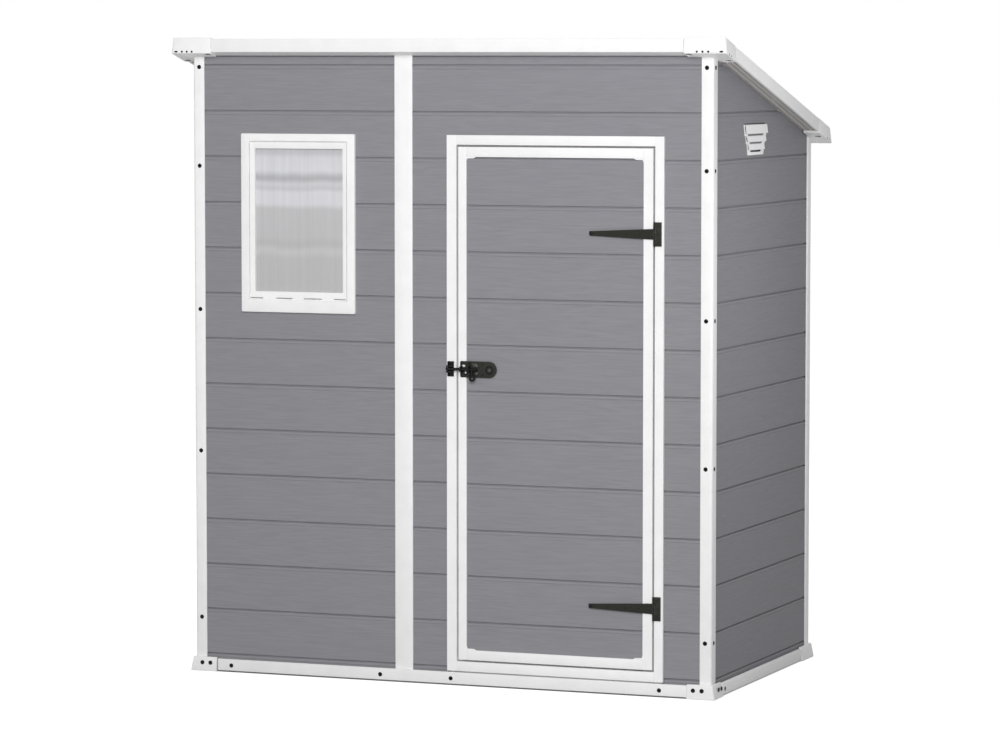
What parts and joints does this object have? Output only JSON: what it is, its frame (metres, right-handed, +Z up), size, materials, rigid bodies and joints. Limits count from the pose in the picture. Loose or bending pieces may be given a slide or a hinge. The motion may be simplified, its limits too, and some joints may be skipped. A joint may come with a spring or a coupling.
{
  "type": "plastic garden shed",
  "caption": "Small pent-roofed plastic garden shed with board-pattern walls, white corner posts and trims, a ribbed window and a strap-hinged door with a pad bolt.",
  "frame": {"origin": "on the ground, under the middle of the roof's outline", "axes": "+X to the right as one faces the door, +Y from the door side to the back, +Z up"},
  "size_m": [1.835, 1.08, 2.0033],
  "materials": {
    "wall_grey": "moulded wood-grain polypropylene, warm mid grey",
    "trim_white": "smooth moulded polypropylene, white",
    "roof_grey": "ribbed moulded polypropylene, mid grey",
    "floor_grey": "textured moulded polypropylene, grey",
    "window_clear": "ribbed translucent twin-wall polycarbonate",
    "black_iron": "satin black powder-coated steel"
  },
  "bodies": {
    "root": {"floor_panel": "floor_grey", "base_rail_front": "trim_white", "base_rail_back": "trim_white", "base_rail_left": "trim_white", "base_rail_right": "trim_white", "corner_feet": "trim_white", "corner_post_front_left": "trim_white", "corner_post_front_right": "trim_white", "corner_post_back_left": "trim_white", "corner_post_back_right": "trim_white", "mid_post_front": "trim_white", "mid_post_back": "trim_white", "front_wall_window": "wall_grey", "front_wall_left_of_door": "wall_grey", "front_wall_right_of_door": "wall_grey", "front_wall_over_door": "wall_grey", "back_wall_left": "wall_grey", "back_wall_right": "wall_grey", "side_wall_left": "wall_grey", "side_wall_right": "wall_grey", "window_frame": "trim_white", "window_pane": "window_clear", "vent_left": "trim_white", "vent_right": "trim_white", "door_jamb_latch": "trim_white", "door_jamb_hinge": "trim_white", "door_head": "trim_white", "door_sill": "trim_white", "hinge_plates": "black_iron", "latch_keeper": "black_iron", "roof_panel_left": "roof_grey", "roof_panel_right": "roof_grey", "roof_trim_front": "trim_white", "roof_trim_back": "trim_white", "roof_trim_left": "trim_white", "roof_trim_right": "trim_white", "roof_corner_caps": "trim_white"},
    "door": {"door_panel": "wall_grey", "door_stile_latch": "trim_white", "door_stile_hinge": "trim_white", "door_rail_top": "trim_white", "door_rail_bottom": "trim_white", "hinge_straps": "black_iron", "latch_plate": "black_iron"},
    "bolt": {"latch_bolt": "black_iron"}
  },
  "joints": [
    {"name": "door_hinge", "type": "hinge", "parent": "root", "child": "door", "pos_m": [0.6785, -0.50825, 0.84], "axis": [0, 0, 1], "range_deg": [0, 160]},
    {"name": "bolt_slide", "type": "slide", "parent": "door", "child": "bolt", "axis": [1, 0, 0], "range_m": [0, 0.03]}
  ]
}
